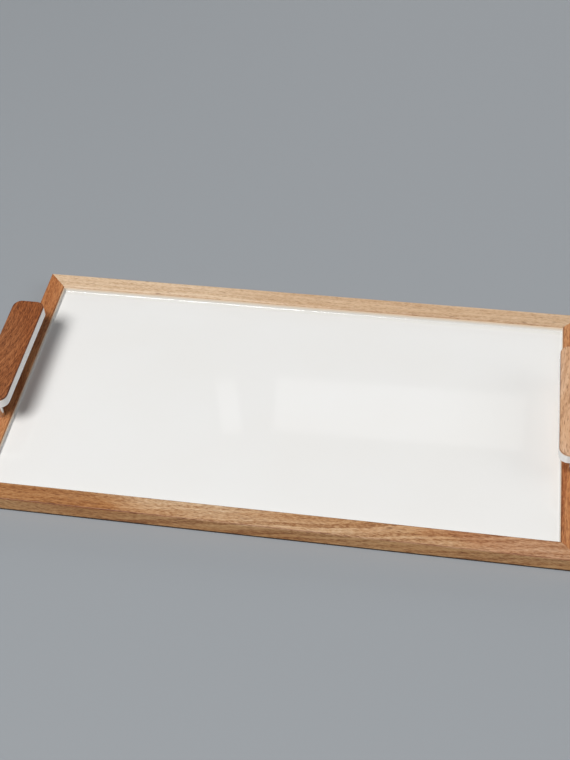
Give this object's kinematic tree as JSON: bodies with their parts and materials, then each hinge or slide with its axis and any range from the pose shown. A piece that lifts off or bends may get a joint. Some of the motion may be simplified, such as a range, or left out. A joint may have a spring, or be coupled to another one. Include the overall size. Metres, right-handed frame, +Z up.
{
  "type": "serving tray",
  "caption": "Low rectangular wood serving tray with a white enamel lining and a raised flat handle plate on metal posts over each short rail.",
  "frame": {"origin": "middle of the tray's underside, on the surface it rests on", "axes": "+X along the long side towards the right handle, +Y from the front rail to the back rail, +Z up"},
  "size_m": [0.5204, 0.2692, 0.0519],
  "materials": {
    "long_rail_wood": "satin oiled mango wood, mid brown",
    "short_rail_wood": "satin oiled mango wood, orange brown",
    "left_handle_wood": "satin oiled mango wood, red brown",
    "right_handle_wood": "satin oiled mango wood, light tan",
    "panel_board": "bare board, matte",
    "dowel_wood": "bare beech, matte",
    "white_enamel": "glossy white enamel coat",
    "polished_steel": "polished",
    "screw_steel": "plain"
  },
  "bodies": {
    "root": {"front_rail": "long_rail_wood", "back_rail": "long_rail_wood", "left_rail": "short_rail_wood", "right_rail": "short_rail_wood", "base_panel": "panel_board", "enamel_lining": "white_enamel", "left_handle_plate": "left_handle_wood", "right_handle_plate": "right_handle_wood", "left_handle_enamel": "white_enamel", "right_handle_enamel": "white_enamel", "left_front_post": "polished_steel", "left_back_post": "polished_steel", "right_front_post": "polished_steel", "right_back_post": "polished_steel", "left_front_screw": "screw_steel", "left_back_screw": "screw_steel", "right_front_screw": "screw_steel", "right_back_screw": "screw_steel", "corner_dowel_front_left": "dowel_wood", "corner_dowel_back_left": "dowel_wood", "corner_dowel_front_right": "dowel_wood", "corner_dowel_back_right": "dowel_wood"}
  },
  "joints": []
}
